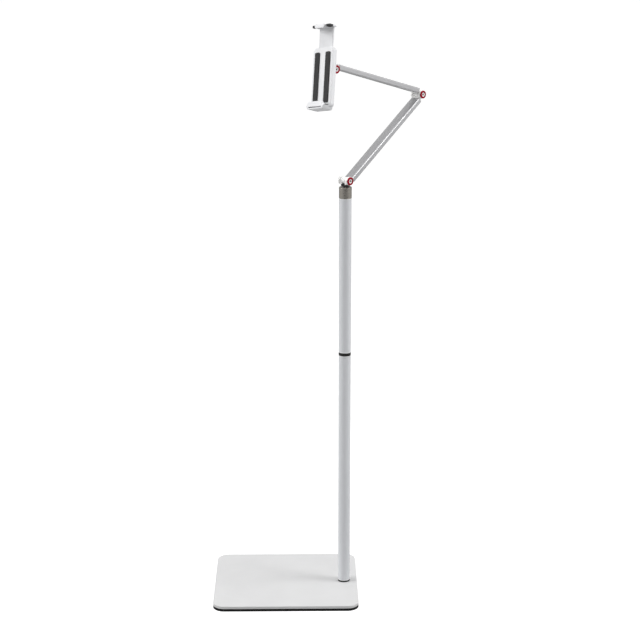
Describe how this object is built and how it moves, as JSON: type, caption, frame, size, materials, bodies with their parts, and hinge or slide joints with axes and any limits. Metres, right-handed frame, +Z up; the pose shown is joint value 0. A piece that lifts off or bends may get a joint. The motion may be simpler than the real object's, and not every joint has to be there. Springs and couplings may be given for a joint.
{
  "type": "adjustable tablet floor stand",
  "caption": "Floor stand with a weighted plate, a pole, a two-part folding arm and a sprung clamp that holds a tablet or phone at any angle.",
  "frame": {"origin": "centre of the base's underside, where it rests on the floor", "axes": "+X along the base's width towards the pole's side, +Y towards the back, +Z up along the pole"},
  "size_m": [0.4416, 0.2946, 1.185],
  "materials": {
    "base_paint": "matt light grey powder coat",
    "black_rubber": "matt",
    "pole_paint": "smooth cool white coat",
    "black_plastic": "satin",
    "collar_metal": "turned satin, grey-brown",
    "bush_plastic": "matt",
    "black_metal": "satin black",
    "tube_aluminium": "satin anodised",
    "white_plastic": "smooth satin white",
    "hinge_plastic": "glossy white",
    "red_plastic": "glossy deep crimson",
    "dark_steel": "dark zinc",
    "spring_steel": "bright",
    "plain_steel": "zinc plated"
  },
  "bodies": {
    "stand": {"base_pad": "black_rubber", "base_plate": "base_paint", "foot_washer": "plain_steel", "foot_bolt": "plain_steel", "foot_insert": "plain_steel", "foot_ring": "black_plastic", "lower_pole": "pole_paint", "upper_pole": "pole_paint", "pole_joint_ring": "black_plastic", "pole_joiner": "plain_steel", "pole_joint_insert": "plain_steel", "pole_top_insert": "plain_steel", "collar": "collar_metal", "swivel_bush": "bush_plastic"},
    "swivel": {"swivel_post": "black_metal", "swivel_washer": "plain_steel", "swivel_nut": "plain_steel", "shoulder_fork": "white_plastic", "shoulder_fork_screws": "plain_steel", "shoulder_bolt": "dark_steel", "shoulder_cap": "hinge_plastic", "shoulder_accent_ring": "red_plastic", "shoulder_washers": "plain_steel"},
    "lower_arm": {"lower_arm_tube": "tube_aluminium", "lower_arm_tongue": "white_plastic", "lower_arm_fork": "white_plastic", "lower_arm_screws": "plain_steel", "elbow_bolt": "dark_steel", "elbow_cap": "hinge_plastic", "elbow_accent_ring": "red_plastic", "elbow_washers": "plain_steel"},
    "upper_arm": {"upper_arm_tube": "tube_aluminium", "upper_arm_tongue": "white_plastic", "upper_arm_fork": "white_plastic", "upper_arm_screws": "plain_steel", "wrist_bolt": "dark_steel", "wrist_cap": "hinge_plastic", "wrist_accent_ring": "red_plastic", "wrist_washers": "plain_steel"},
    "wrist": {"wrist_head": "white_plastic", "roll_washer": "plain_steel", "roll_spring_washer": "plain_steel", "roll_nut": "plain_steel"},
    "holder": {"rear_shell": "white_plastic", "front_cover": "white_plastic", "cover_screws": "plain_steel", "back_grip_pads": "black_rubber", "jaw_springs": "spring_steel", "lower_jaw": "white_plastic", "lower_jaw_screws": "plain_steel", "lower_jaw_pads": "black_rubber"},
    "upper_jaw": {"upper_jaw": "white_plastic", "upper_jaw_pads": "black_rubber"},
    "shoulder_knob": {"shoulder_knob": "hinge_plastic", "shoulder_knob_nut": "plain_steel"},
    "elbow_knob": {"elbow_knob": "hinge_plastic", "elbow_knob_nut": "plain_steel"},
    "wrist_knob": {"wrist_knob": "hinge_plastic", "wrist_knob_nut": "plain_steel"}
  },
  "joints": [
    {"name": "pole_swivel", "type": "hinge", "parent": "stand", "child": "swivel", "pos_m": [0.1225, -0.005, 0.849], "axis": [0, 0, 1], "continuous": true},
    {"name": "shoulder_tilt", "type": "hinge", "parent": "swivel", "child": "lower_arm", "pos_m": [0.1225, -0.005, 0.8713], "axis": [0.6947, -0.7193, 0], "range_deg": [-40, 100]},
    {"name": "elbow_tilt", "type": "hinge", "parent": "lower_arm", "child": "upper_arm", "pos_m": [0.27555, 0.1428, 1.02419], "axis": [-0.6947, 0.7193, 0], "range_deg": [-31, 128]},
    {"name": "wrist_tilt", "type": "hinge", "parent": "upper_arm", "child": "wrist", "pos_m": [0.09429, -0.03224, 1.09597], "axis": [0.6947, -0.7193, 0], "range_deg": [-70, 60]},
    {"name": "holder_roll", "type": "hinge", "parent": "wrist", "child": "holder", "pos_m": [0.09429, -0.03224, 1.09597], "axis": [-0.6964, -0.6725, 0.2504], "continuous": true},
    {"name": "jaw_slide", "type": "slide", "parent": "holder", "child": "upper_jaw", "axis": [0.0592, 0.2938, 0.954], "range_m": [-0.022, 0.038], "stiffness_N_per_m": 100, "deforming": ["jaw_springs"]},
    {"name": "shoulder_knob_turn", "type": "hinge", "parent": "swivel", "child": "shoulder_knob", "pos_m": [0.1225, -0.005, 0.8713], "axis": [-0.6947, 0.7193, 0], "range_deg": [0, 360]},
    {"name": "elbow_knob_turn", "type": "hinge", "parent": "lower_arm", "child": "elbow_knob", "pos_m": [0.27555, 0.1428, 1.02419], "axis": [-0.6947, 0.7193, 0], "range_deg": [0, 360]},
    {"name": "wrist_knob_turn", "type": "hinge", "parent": "upper_arm", "child": "wrist_knob", "pos_m": [0.09429, -0.03224, 1.09597], "axis": [-0.6947, 0.7193, 0], "range_deg": [0, 360]}
  ]
}
